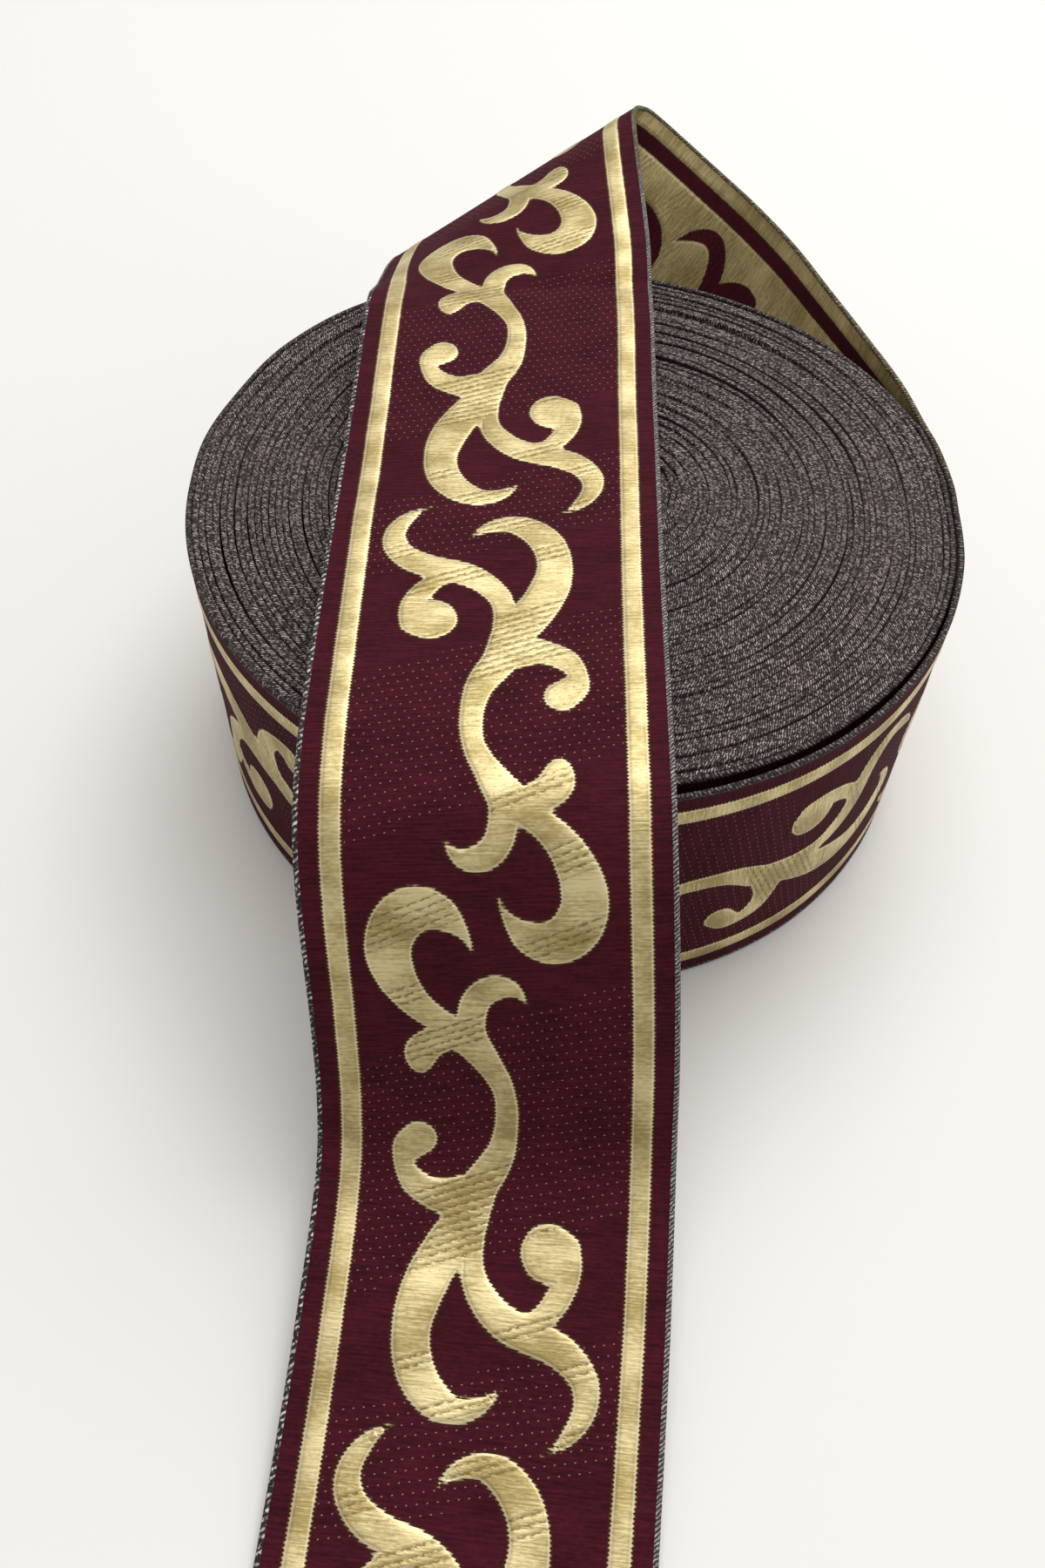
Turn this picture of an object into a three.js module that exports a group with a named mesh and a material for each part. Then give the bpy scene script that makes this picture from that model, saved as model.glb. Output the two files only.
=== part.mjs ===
// A roll of woven ribbon lying on its flat side, with its loose end turned over and drawn across the roll.
//
// Millimetres, +Z up. The origin is the middle of the roll's underside, where it rests on the table.
// The ribbon is wound counter-clockwise seen from above, with its face outwards. One edge of the cloth stands
// on the table in the roll and is called the lower edge here; the other is the upper edge. On the run over the
// roll the cloth lies face up, and the lower edge is the one on the left, seen from the cut end.

import * as THREE from 'three';

const ribbonWidth = 50;
const clothThickness = 1;
const tableClearance = 0.15; // the loose turn stands this much above the table
const rollRadius = 60.5;
const rollAzimuthStep = 5; // degrees between the points of the round outline
const acrossParts = 6; // quads across the cloth
const longestRow = 6; // no row of quads is longer than this along the cloth

const burgundyCloth = new THREE.MeshStandardMaterial({ color: 0x531827, roughness: 0.8, metalness: 0 });
const woundEdges = new THREE.MeshStandardMaterial({ color: 0x645d5b, roughness: 0.9, metalness: 0 });

const radians = THREE.MathUtils.degToRad;

// The top of the wound part, from its middle outwards: most turns stand at the full width of the ribbon, and a
// few are sunk a little between their neighbours.
const topRings = [
  { name: 'middle', radius: 0, height: 49.0 },
  { name: 'first tight turns', radius: 5, height: 49.2 },
  { name: 'inner turns', radius: 13, height: 49.9 },
  { name: 'inner sunk turn', radius: 14.5, height: 49.4 },
  { name: 'middle turns begin', radius: 16, height: 49.9 },
  { name: 'middle turns end', radius: 31, height: 50 },
  { name: 'middle sunk turn', radius: 32.5, height: 49.5 },
  { name: 'outer turns begin', radius: 34, height: 50 },
  { name: 'outer turns end', radius: 46, height: 49.9 },
  { name: 'outer sunk turn', radius: 47.5, height: 49.4 },
  { name: 'last turns begin', radius: 49, height: 49.9 },
  { name: 'last turns end', radius: 60.5, height: 49.7 },
];

// The outermost turn, where it has sprung away from the roll: the middle of the cloth and the gap behind it.
// It starts under the run of cloth and goes counter-clockwise to where the cloth lets go of the roll.
const looseTurn = [
  { name: 'under the run', azimuth: 248, radius: 60.7, gap: 0.5 },
  { name: 'left of the run', azimuth: 262, radius: 60.8, gap: 1.0 },
  { name: 'widest gap', azimuth: 282, radius: 61.2, gap: 2.0 },
  { name: 'narrowing', azimuth: 305, radius: 61.2, gap: 1.5 },
  { name: 'right front', azimuth: 330, radius: 60.9, gap: 0.8 },
  { name: 'right, drawn in', azimuth: 345, radius: 60.6, gap: 0.6 },
  { name: 'right', azimuth: 358, radius: 60.2, gap: 0.5 },
  { name: 'right rear', azimuth: 368, radius: 60.8, gap: 0.5 },
  { name: 'before it lets go', azimuth: 379, radius: 61.5, gap: 0.5 },
];

// The rim of the wound part where no loose turn covers it. It isn't quite round: it bulges at the rear left.
const woundRim = [
  { name: 'where the loose turn lets go', azimuth: 19, radius: 60.5 },
  { name: 'right rear', azimuth: 60, radius: 60.6 },
  { name: 'rear', azimuth: 90, radius: 60.9 },
  { name: 'bulge begins', azimuth: 115, radius: 61.8 },
  { name: 'bulge at the rear left', azimuth: 135, radius: 62.5 },
  { name: 'bulge ends', azimuth: 145, radius: 62.4 },
  { name: 'left, drawn in', azimuth: 160, radius: 61.6 },
  { name: 'left', azimuth: 170, radius: 61.8 },
  { name: 'left, towards the front', azimuth: 182, radius: 61.4 },
  { name: 'left front', azimuth: 205, radius: 61.3 },
  { name: 'under the run', azimuth: 248, radius: 61.2 },
];

// Straight lines across the cloth, from where it lets go of the roll to where it lies over the roll, as the
// points that they reach on its upper and lower edges. The band leans outwards as it goes back, its lower edge
// lifts off the table, and the cloth turns over round a slanting cone whose tip is at the upper edge.
const bandAndFold = [
  { name: 'lets go of the roll', upper: [55.8, 29.9, 50.4], lower: [53.6, 30.1, 0.4] },
  { name: 'band, first quarter', upper: [51.0, 43.4, 50.7], lower: [45.2, 41.9, 1.2] },
  { name: 'band, second quarter', upper: [46.0, 56.9, 50.9], lower: [35.3, 52.0, 2.7] },
  { name: 'band, middle', upper: [40.8, 70.5, 51.2], lower: [25.0, 60.2, 4.9] },
  { name: 'band, third quarter', upper: [34.3, 83.4, 51.7], lower: [15.2, 67.5, 8.0] },
  { name: 'band, last quarter', upper: [26.4, 93.6, 53.6], lower: [5.9, 72.8, 12.4] },
  { name: 'band rises', upper: [17.9, 98.4, 58.3], lower: [-2.3, 75.8, 17.4] },
  { name: 'turn begins', upper: [14.4, 98.1, 61.1], lower: [-7.4, 77.5, 20.5] },
  { name: 'turn, behind', upper: [13.3, 97.8, 62.0], lower: [-12.3, 79.3, 23.6] },
  { name: 'turn, behind left', upper: [12.5, 97.5, 62.5], lower: [-18.0, 81.5, 27.1] },
  { name: 'turn, lower left', upper: [11.9, 97.1, 62.8], lower: [-24.0, 82.8, 31.0] },
  { name: 'turn, far left', upper: [11.4, 96.6, 63.1], lower: [-29.4, 82.0, 35.8] },
  { name: 'turn, upper left', upper: [11.0, 95.9, 63.4], lower: [-33.4, 78.6, 40.2] },
  { name: 'turn, over the top', upper: [10.6, 95.0, 63.7], lower: [-35.4, 73.0, 43.4] },
  { name: 'turn, coming forward', upper: [10.3, 93.6, 64.1], lower: [-36.5, 66.8, 45.4] },
  { name: 'turn ends', upper: [9.9, 91.4, 64.5], lower: [-37.0, 60.6, 47.0] },
  { name: 'back of the run', upper: [9.9, 86.8, 64.7], lower: [-37.2, 55.4, 48.7] },
  { name: 'back of the run, sloping', upper: [10.4, 78.4, 63.6], lower: [-37.2, 51.6, 50.5] },
  { name: 'behind the roll', upper: [11.4, 67.4, 61.3], lower: [-37.2, 49.2, 51.9] },
  { name: 'over the rear rim', upper: [12.3, 56.5, 58.8], lower: [-37.2, 47.2, 53.0] },
  { name: 'crease over the roll', upper: [12.6, 46.1, 56.7], lower: [-37.2, 44.6, 54.3] },
];

// The middle line of the run over the roll, down in front of it and out along the table. Yaw is the direction
// straight across the cloth, in degrees from +X.
const run = [
  { name: 'on the roll', x: -12.2, y: 36, height: 55.7, yaw: 0.3 },
  { name: 'rear half of the roll', x: -12.2, y: 20, height: 54.7, yaw: 0.3 },
  { name: 'middle of the roll', x: -12.2, y: 0, height: 54.3, yaw: 0.3 },
  { name: 'front half of the roll', x: -12.2, y: -22, height: 54.3, yaw: 0.2 },
  { name: 'nearing the front rim', x: -12.1, y: -42, height: 54.1, yaw: 0 },
  { name: 'front rim', x: -11.9, y: -56, height: 53.4, yaw: -0.3 },
  { name: 'over the rim', x: -11.7, y: -63, height: 51.8, yaw: -0.6 },
  { name: 'bending down', x: -11.4, y: -69, height: 48.2, yaw: -1.2 },
  { name: 'steeper', x: -10.9, y: -74, height: 43.0, yaw: -2 },
  { name: 'upper half of the fall', x: -10.3, y: -78.4, height: 37, yaw: -2.7 },
  { name: 'lower half of the fall', x: -9.7, y: -82.4, height: 30.6, yaw: -3.2 },
  { name: 'foot of the fall', x: -9.1, y: -87.4, height: 22.6, yaw: -3.6 },
  { name: 'bending out', x: -8.8, y: -92.4, height: 16, yaw: -3.9 },
  { name: 'crease above the table', x: -8.7, y: -97.2, height: 11.6, yaw: -3.9 },
  { name: 'sloping out', x: -8.9, y: -104, height: 9, yaw: -3.9 },
  { name: 'low slope', x: -9.5, y: -116, height: 6.4, yaw: -3.9 },
  { name: 'lower slope', x: -10.4, y: -129, height: 3.8, yaw: -3.9 },
  { name: 'almost down', x: -11.4, y: -142, height: 1.6, yaw: -3.9 },
  { name: 'touches the table', x: -12.3, y: -154, height: 0.62, yaw: -3.9 },
  { name: 'lies on the table', x: -13.1, y: -166, height: 0.52, yaw: -3.9 },
  { name: 'cut end', x: -13.8, y: -176, height: 0.52, yaw: -3.9 },
];

// Value of a column at a position, eased between the rows of a table.
function tableValue(table, positionColumn, column, position) {
  const after = table.findIndex((row) => row[positionColumn] >= position);
  if (after === 0) return table[0][column];
  if (after < 0) return table[table.length - 1][column];
  const [from, to] = [table[after - 1], table[after]];
  const share = (position - from[positionColumn]) / (to[positionColumn] - from[positionColumn]);
  return from[column] + (to[column] - from[column]) * THREE.MathUtils.smoothstep(share, 0, 1);
}

// Radius of the wound part at its rim, drawn in behind the loose turn.
function woundRadius(azimuth) {
  const start = looseTurn[0].azimuth;
  const end = looseTurn[looseTurn.length - 1].azimuth;
  const onLooseTurn = azimuth >= start ? azimuth : azimuth + 360;
  if (onLooseTurn <= end) {
    const cloth = tableValue(looseTurn, 'azimuth', 'radius', onLooseTurn);
    const gap = tableValue(looseTurn, 'azimuth', 'gap', onLooseTurn);
    return cloth - clothThickness / 2 - gap;
  }
  return tableValue(woundRim, 'azimuth', 'radius', azimuth);
}

// The outline steps in where the loose turn begins, so two azimuths stand close together there.
function woundAzimuths() {
  const step = looseTurn[0].azimuth;
  const azimuths = [];
  for (let azimuth = 0; azimuth < 360; azimuth += rollAzimuthStep) {
    if (Math.abs(azimuth - step) > rollAzimuthStep / 2) azimuths.push(azimuth);
  }
  azimuths.push(step - 1.5, step);
  return azimuths.sort((a, b) => a - b);
}

function makeRoll() {
  const azimuths = woundAzimuths();
  const around = azimuths.length;
  const positions = [0, 0, topRings[0].height];
  const rings = topRings.slice(1);
  const addRing = (radius, height) => {
    for (const azimuth of azimuths) {
      const reach = (radius / rollRadius) * woundRadius(azimuth);
      positions.push(reach * Math.cos(radians(azimuth)), reach * Math.sin(radians(azimuth)), height);
    }
  };
  for (const ring of rings) addRing(ring.radius, ring.height);
  addRing(rollRadius, 0);
  positions.push(0, 0, 0);

  const indices = [];
  const point = (ring, side) => 1 + ring * around + (side % around);
  const lastRing = rings.length;
  const underside = positions.length / 3 - 1;
  for (let side = 0; side < around; side += 1) {
    indices.push(0, point(0, side), point(0, side + 1));
    for (let ring = 0; ring < lastRing; ring += 1) {
      const [a, b] = [point(ring, side), point(ring, side + 1)];
      const [c, d] = [point(ring + 1, side), point(ring + 1, side + 1)];
      indices.push(a, c, d, a, d, b);
    }
    indices.push(underside, point(lastRing, side + 1), point(lastRing, side));
  }
  return closedMesh(positions, indices, woundEdges, 'roll');
}

function looseTurnLines() {
  const lines = [];
  const start = looseTurn[0].azimuth;
  const end = looseTurn[looseTurn.length - 1].azimuth;
  const parts = Math.round((end - start) / rollAzimuthStep);
  for (let part = 0; part <= parts; part += 1) {
    const azimuth = start + ((end - start) * part) / parts;
    const radius = tableValue(looseTurn, 'azimuth', 'radius', azimuth);
    const x = radius * Math.cos(radians(azimuth));
    const y = radius * Math.sin(radians(azimuth));
    lines.push({
      upper: new THREE.Vector3(x, y, tableClearance + ribbonWidth),
      lower: new THREE.Vector3(x, y, tableClearance),
    });
  }
  return lines;
}

function bandAndFoldLines() {
  return bandAndFold.map(({ upper, lower }) => ({
    upper: new THREE.Vector3(...upper),
    lower: new THREE.Vector3(...lower),
  }));
}

// Lines across the run stand square to its middle line.
function runLines() {
  const middle = run.map(({ x, y, height }) => new THREE.Vector3(x, y, height));
  const middleLine = new THREE.CatmullRomCurve3(middle, false, 'centripetal');
  return run.map(({ yaw }, row) => {
    const along = middleLine.getTangent(row / (run.length - 1));
    const across = new THREE.Vector3(Math.cos(radians(yaw)), Math.sin(radians(yaw)), 0);
    across.addScaledVector(along, -across.dot(along)).normalize();
    return {
      upper: middle[row].clone().addScaledVector(across, ribbonWidth / 2),
      lower: middle[row].clone().addScaledVector(across, -ribbonWidth / 2),
    };
  });
}

// Rows of points across the cloth, close enough together along both edges.
function clothRows(lines) {
  const upperEdge = new THREE.CatmullRomCurve3(lines.map((line) => line.upper), false, 'centripetal');
  const lowerEdge = new THREE.CatmullRomCurve3(lines.map((line) => line.lower), false, 'centripetal');
  const rows = [];
  const spans = lines.length - 1;
  for (let span = 0; span < spans; span += 1) {
    const reach = Math.max(
      lines[span].upper.distanceTo(lines[span + 1].upper),
      lines[span].lower.distanceTo(lines[span + 1].lower),
    );
    const parts = Math.ceil(reach / longestRow);
    for (let part = 0; part < parts; part += 1) rows.push((span + part / parts) / spans);
  }
  rows.push(1);
  return rows.map((place) => {
    const upper = upperEdge.getPoint(place);
    const lower = lowerEdge.getPoint(place);
    const row = [];
    for (let part = 0; part <= acrossParts; part += 1) {
      row.push(lower.clone().lerp(upper, part / acrossParts));
    }
    return row;
  });
}

// A closed sheet around rows of points: half of the thickness on each side, and walls round the edges.
function makeSheet(rows, thickness, material, name) {
  const last = rows.length - 1;
  const across = rows[0].length - 1;
  const positions = [];
  const addSide = (offset) => {
    rows.forEach((row, r) => row.forEach((middle, c) => {
      const along = rows[Math.min(r + 1, last)][c].clone().sub(rows[Math.max(r - 1, 0)][c]);
      const sideways = row[across].clone().sub(row[0]);
      const normal = along.cross(sideways).normalize();
      positions.push(...middle.clone().addScaledVector(normal, offset).toArray());
    }));
  };
  addSide(thickness / 2);
  addSide(-thickness / 2);

  const face = (r, c) => r * (across + 1) + c;
  const reverse = (r, c) => rows.length * (across + 1) + face(r, c);
  const indices = [];
  const quad = (a, b, c, d) => indices.push(a, b, c, a, c, d);
  for (let r = 0; r < last; r += 1) {
    for (let c = 0; c < across; c += 1) {
      quad(face(r, c), face(r + 1, c), face(r + 1, c + 1), face(r, c + 1));
      quad(reverse(r, c), reverse(r, c + 1), reverse(r + 1, c + 1), reverse(r + 1, c));
    }
    quad(face(r, 0), reverse(r, 0), reverse(r + 1, 0), face(r + 1, 0));
    quad(face(r, across), face(r + 1, across), reverse(r + 1, across), reverse(r, across));
  }
  for (let c = 0; c < across; c += 1) {
    quad(face(0, c), face(0, c + 1), reverse(0, c + 1), reverse(0, c));
    quad(face(last, c), reverse(last, c), reverse(last, c + 1), face(last, c + 1));
  }
  return closedMesh(positions, indices, material, name);
}

function closedMesh(positions, indices, material, name) {
  const geometry = new THREE.BufferGeometry();
  geometry.setAttribute('position', new THREE.Float32BufferAttribute(positions, 3));
  geometry.setIndex(indices);
  geometry.computeVertexNormals();
  const mesh = new THREE.Mesh(geometry, material);
  mesh.name = name;
  return mesh;
}

function makeLooseEnd() {
  const lines = [...looseTurnLines(), ...bandAndFoldLines(), ...runLines()];
  return makeSheet(clothRows(lines), clothThickness, burgundyCloth, 'loose_end');
}

const ribbonRoll = new THREE.Group();
ribbonRoll.add(makeRoll(), makeLooseEnd());

export default ribbonRoll;
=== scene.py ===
# %% [markdown]
# # A roll of woven ribbon with its end drawn across it
# The piece is about twelve metres of patterned ribbon, 50 mm wide, wound flat and lying on its side. Its
# outermost turn has sprung loose; the end runs on behind the roll with its reverse showing, turns over in a
# slanting fold, comes forward face up across the roll and runs out over the table.
#
# Two pieces are made: the wound part, as a spiral of cloth, and the loose end, as one sheet. Both share one
# set of coordinates on the flat cloth, so that the woven scroll runs on from one to the other.

# %% Load the fixed frame
import math
from functools import partial

import bpy
import numpy as np
from mathutils import Matrix, Vector


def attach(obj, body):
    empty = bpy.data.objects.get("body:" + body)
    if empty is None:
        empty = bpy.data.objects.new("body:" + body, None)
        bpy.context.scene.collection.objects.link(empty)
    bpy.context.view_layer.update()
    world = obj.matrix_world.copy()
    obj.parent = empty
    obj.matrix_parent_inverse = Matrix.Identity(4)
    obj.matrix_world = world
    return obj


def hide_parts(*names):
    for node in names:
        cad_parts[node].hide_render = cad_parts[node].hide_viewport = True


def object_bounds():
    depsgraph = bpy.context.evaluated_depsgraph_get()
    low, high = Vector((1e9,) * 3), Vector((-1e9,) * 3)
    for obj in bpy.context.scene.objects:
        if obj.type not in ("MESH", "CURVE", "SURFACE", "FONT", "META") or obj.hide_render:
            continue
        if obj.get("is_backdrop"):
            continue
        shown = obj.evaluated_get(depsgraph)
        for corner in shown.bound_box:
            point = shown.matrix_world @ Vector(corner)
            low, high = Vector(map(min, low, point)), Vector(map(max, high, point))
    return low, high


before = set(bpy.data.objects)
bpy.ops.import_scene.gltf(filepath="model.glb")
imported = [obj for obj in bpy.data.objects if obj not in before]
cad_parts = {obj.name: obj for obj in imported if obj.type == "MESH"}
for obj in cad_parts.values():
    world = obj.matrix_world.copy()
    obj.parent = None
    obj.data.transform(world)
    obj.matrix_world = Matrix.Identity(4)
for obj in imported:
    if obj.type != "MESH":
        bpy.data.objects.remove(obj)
cad_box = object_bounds()
MM = 0.001
print("nodes:", sorted(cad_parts))


def put_in_scene(thing):
    bpy.context.scene.collection.objects.link(thing)


# %% [markdown]
# ## The camera
# The photograph was taken from above and in front, about 250 mm from the roll, which makes the cut end much
# larger than the far side. The place, the angle and the lens were found from the width of the ribbon along
# its run and the round rim of the roll. The camera is turned a little about its own line of sight.

# %% Camera
IMAGE_LONG_SIDE = 1800
SENSOR_MM = 36.0
FOCAL_PIXELS = 1536.6
CAMERA_PLACE_MM = (-6.91, -164.64, 192.89)
CAMERA_DOWN = math.radians(53.40)
CAMERA_TILT = math.radians(2.12)

line_of_sight = Vector((0.0, math.cos(CAMERA_DOWN), -math.sin(CAMERA_DOWN)))
level_right = Vector((1.0, 0.0, 0.0))
level_up = level_right.cross(line_of_sight)
camera_right = math.cos(CAMERA_TILT) * level_right + math.sin(CAMERA_TILT) * level_up
camera_up = camera_right.cross(line_of_sight)

camera_data = bpy.data.cameras.new("camera")
camera_data.sensor_width = SENSOR_MM
camera_data.lens = SENSOR_MM * FOCAL_PIXELS / IMAGE_LONG_SIDE
camera_data.clip_start = 0.01
camera = bpy.data.objects.new("camera", camera_data)
put_in_scene(camera)
turn = Matrix((camera_right, camera_up, -line_of_sight)).transposed()
camera.matrix_world = Matrix.Translation(Vector(CAMERA_PLACE_MM) * MM) @ turn.to_4x4()
bpy.context.scene.camera = camera
print(f"camera: lens {camera_data.lens:.2f} mm, {math.degrees(CAMERA_DOWN):.1f} degrees down")

# %% [markdown]
# ## How the loose end lies
# The way a ribbon lies can be told with straight lines across it. Each row of the tables below is one such
# line, named by where it is, and gives the points that it reaches on the two edges of the cloth. Between the
# rows the edges follow smooth curves. A ribbon can't stretch, so at the fold the lines fan out round one
# point of the upper edge, as they do on a paper cone.
#
# A simulation could let the cloth fall over the roll, but it would not find this fold again. The stations
# keep it exactly. The price is that the two edges of the fold differ in length by a twelfth, which hardly
# shows.

# %% Tables of lines across the cloth
RIBBON_WIDTH = 50.0
TABLE_CLEARANCE = 0.15
TURN_LINES = 27

# azimuth (degrees), radius of the middle of the cloth, gap to the wound part behind it
LOOSE_TURN = [
    ("under the run", 248, 60.7, 0.5),
    ("left of the run", 262, 60.8, 1.0),
    ("widest gap", 282, 61.2, 2.0),
    ("narrowing", 305, 61.2, 1.5),
    ("right front", 330, 60.9, 0.8),
    ("right, drawn in", 345, 60.6, 0.6),
    ("right", 358, 60.2, 0.5),
    ("right rear", 368, 60.8, 0.5),
    ("before it lets go", 379, 61.5, 0.5),
]

# azimuth (degrees), radius of the rim of the wound part where no loose turn covers it
WOUND_RIM = [
    ("where the loose turn lets go", 19, 60.5),
    ("right rear", 60, 60.6),
    ("rear", 90, 60.9),
    ("bulge begins", 115, 61.8),
    ("bulge at the rear left", 135, 62.5),
    ("bulge ends", 145, 62.4),
    ("left, drawn in", 160, 61.6),
    ("left", 170, 61.8),
    ("left, towards the front", 182, 61.4),
    ("left front", 205, 61.3),
    ("under the run", 248, 61.2),
]

# upper edge x, y, z and lower edge x, y, z
BAND_AND_FOLD = [
    ("lets go of the roll", (55.8, 29.9, 50.4), (53.6, 30.1, 0.4)),
    ("band, first quarter", (51.0, 43.4, 50.7), (45.2, 41.9, 1.2)),
    ("band, second quarter", (46.0, 56.9, 50.9), (35.3, 52.0, 2.7)),
    ("band, middle", (40.8, 70.5, 51.2), (25.0, 60.2, 4.9)),
    ("band, third quarter", (34.3, 83.4, 51.7), (15.2, 67.5, 8.0)),
    ("band, last quarter", (26.4, 93.6, 53.6), (5.9, 72.8, 12.4)),
    ("band rises", (17.9, 98.4, 58.3), (-2.3, 75.8, 17.4)),
    ("turn begins", (14.4, 98.1, 61.1), (-7.4, 77.5, 20.5)),
    ("turn, behind", (13.3, 97.8, 62.0), (-12.3, 79.3, 23.6)),
    ("turn, behind left", (12.5, 97.5, 62.5), (-18.0, 81.5, 27.1)),
    ("turn, lower left", (11.9, 97.1, 62.8), (-24.0, 82.8, 31.0)),
    ("turn, far left", (11.4, 96.6, 63.1), (-29.4, 82.0, 35.8)),
    ("turn, upper left", (11.0, 95.9, 63.4), (-33.4, 78.6, 40.2)),
    ("turn, over the top", (10.6, 95.0, 63.7), (-35.4, 73.0, 43.4)),
    ("turn, coming forward", (10.3, 93.6, 64.1), (-36.5, 66.8, 45.4)),
    ("turn ends", (9.9, 91.4, 64.5), (-37.0, 60.6, 47.0)),
    ("back of the run", (9.9, 86.8, 64.7), (-37.2, 55.4, 48.7)),
    ("back of the run, sloping", (10.4, 78.4, 63.6), (-37.2, 51.6, 50.5)),
    ("behind the roll", (11.4, 67.4, 61.3), (-37.2, 49.2, 51.9)),
    ("over the rear rim", (12.3, 56.5, 58.8), (-37.2, 47.2, 53.0)),
    ("crease over the roll", (12.6, 46.1, 56.7), (-37.2, 44.6, 54.3)),
]

# x, y and height of the middle line, and yaw of the line across (degrees)
RUN = [
    ("on the roll", -12.2, 36.0, 55.7, 0.3),
    ("rear half of the roll", -12.2, 20.0, 54.7, 0.3),
    ("middle of the roll", -12.2, 0.0, 54.3, 0.3),
    ("front half of the roll", -12.2, -22.0, 54.3, 0.2),
    ("nearing the front rim", -12.1, -42.0, 54.1, 0.0),
    ("front rim", -11.9, -56.0, 53.4, -0.3),
    ("over the rim", -11.7, -63.0, 51.8, -0.6),
    ("bending down", -11.4, -69.0, 48.2, -1.2),
    ("steeper", -10.9, -74.0, 43.0, -2.0),
    ("upper half of the fall", -10.3, -78.4, 37.0, -2.7),
    ("lower half of the fall", -9.7, -82.4, 30.6, -3.2),
    ("foot of the fall", -9.1, -87.4, 22.6, -3.6),
    ("bending out", -8.8, -92.4, 16.0, -3.9),
    ("crease above the table", -8.7, -97.2, 11.6, -3.9),
    ("sloping out", -8.9, -104.0, 9.0, -3.9),
    ("low slope", -9.5, -116.0, 6.4, -3.9),
    ("lower slope", -10.4, -129.0, 3.8, -3.9),
    ("almost down", -11.4, -142.0, 1.6, -3.9),
    ("touches the table", -12.3, -154.0, 0.62, -3.9),
    ("lies on the table", -13.1, -166.0, 0.52, -3.9),
    ("cut end", -13.8, -176.0, 0.52, -3.9),
]
print(len(BAND_AND_FOLD) + len(RUN), "lines across the band, the fold and the run")


# %% Smooth curves through the stations
def smooth_curve(points, places):
    """Centripetal Catmull-Rom curve through points; places run from 0 at the first to 1 at the last."""
    points = np.asarray(points, float)
    spans = len(points) - 1
    along = np.asarray(places, float) * spans
    span = np.minimum(along.astype(int), spans - 1)
    share = (along - span)[:, None]
    ends = np.vstack([2 * points[0] - points[1], points, 2 * points[-1] - points[-2]])
    before, start, end, after = (ends[span + k] for k in range(4))

    def knot(a, b):
        return np.maximum(np.linalg.norm(b - a, axis=1)[:, None], 1e-6) ** 0.5

    k0 = knot(before, start)
    k1 = knot(start, end)
    k2 = knot(end, after)
    slope_in = (start - before) / k0 - (end - before) / (k0 + k1) + (end - start) / k1
    slope_out = (end - start) / k1 - (after - start) / (k1 + k2) + (after - end) / k2
    t1 = slope_in * k1
    t2 = slope_out * k1
    cubic = 2 * start - 2 * end + t1 + t2
    square = -3 * start + 3 * end - 2 * t1 - t2
    return start + t1 * share + square * share**2 + cubic * share**3


def eased(table, column, azimuth):
    """Value of a column of a table of azimuths, eased between its rows."""
    rows = [row[1] for row in table]
    after = next((k for k, value in enumerate(rows) if value >= azimuth), len(rows))
    if after == 0:
        return table[0][column]
    if after == len(rows):
        return table[-1][column]
    share = (azimuth - rows[after - 1]) / (rows[after] - rows[after - 1])
    share = share * share * (3 - 2 * share)
    low = table[after - 1][column]
    return low + (table[after][column] - low) * share


def unit(vector):
    return vector / np.linalg.norm(vector)


# %% Both edges of the whole loose end
upper = []
lower = []
first_azimuth = LOOSE_TURN[0][1]
last_azimuth = LOOSE_TURN[-1][1]
for azimuth in np.linspace(first_azimuth, last_azimuth, TURN_LINES):
    radius = eased(LOOSE_TURN, 2, azimuth)
    x = radius * math.cos(math.radians(azimuth))
    y = radius * math.sin(math.radians(azimuth))
    upper.append((x, y, TABLE_CLEARANCE + RIBBON_WIDTH))
    lower.append((x, y, TABLE_CLEARANCE))
turn_rows = len(upper)
for _, upper_point, lower_point in BAND_AND_FOLD:
    upper.append(upper_point)
    lower.append(lower_point)
band_rows = len(upper)

middle = np.array([row[1:4] for row in RUN])
for k, row in enumerate(RUN):
    place = k / (len(RUN) - 1)
    nearby = np.clip([place - 1e-4, place + 1e-4], 0, 1)
    before, after = smooth_curve(middle, nearby)
    along = unit(after - before)
    yaw = math.radians(row[4])
    across = np.array([math.cos(yaw), math.sin(yaw), 0.0])
    across = unit(across - across.dot(along) * along)
    upper.append(middle[k] + across * RIBBON_WIDTH / 2)
    lower.append(middle[k] - across * RIBBON_WIDTH / 2)
stations = len(upper)

# %% [markdown]
# ## Coordinates on the flat cloth
# The weave follows the cloth, not the room, so every point needs its place on the flat ribbon: the length
# along it and the distance from its middle line, both in millimetres. Length counts from the middle of the
# roll's top towards the cut end. Along the run it is the length of the middle line. In the band and the fold
# both edges get the same length on the flat cloth, such that the scroll falls on the loose turn where the
# photograph has it.
#
# A UV map could hold these numbers; a plain attribute keeps them in millimetres, which suits a weave.

# %% Length along the cloth at both edges
BAND_LENGTH = 159.8
DENSE = 40

# The weave lies a little askew on the run over the roll. This fades out where the cloth bends down.
WEAVE_SLANT = 0.06
WEAVE_LAG = 0.5
ASKEW_ENDS = 72.0
ASKEW_FADES = 22.0

dense_places = np.linspace(0, 1, (stations - 1) * DENSE + 1)
dense_upper = smooth_curve(upper, dense_places)
dense_lower = smooth_curve(lower, dense_places)


def length_along(points):
    return np.r_[0, np.cumsum(np.linalg.norm(np.diff(points, axis=0), axis=1))]


let_go = turn_rows * DENSE
crest = (band_rows - 1) * DENSE
middle_length = length_along((dense_upper + dense_lower) / 2)
middle_y = (dense_upper + dense_lower)[:, 1] / 2
zero_row = crest + int(np.argmin(np.abs(middle_y[crest:])))


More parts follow.
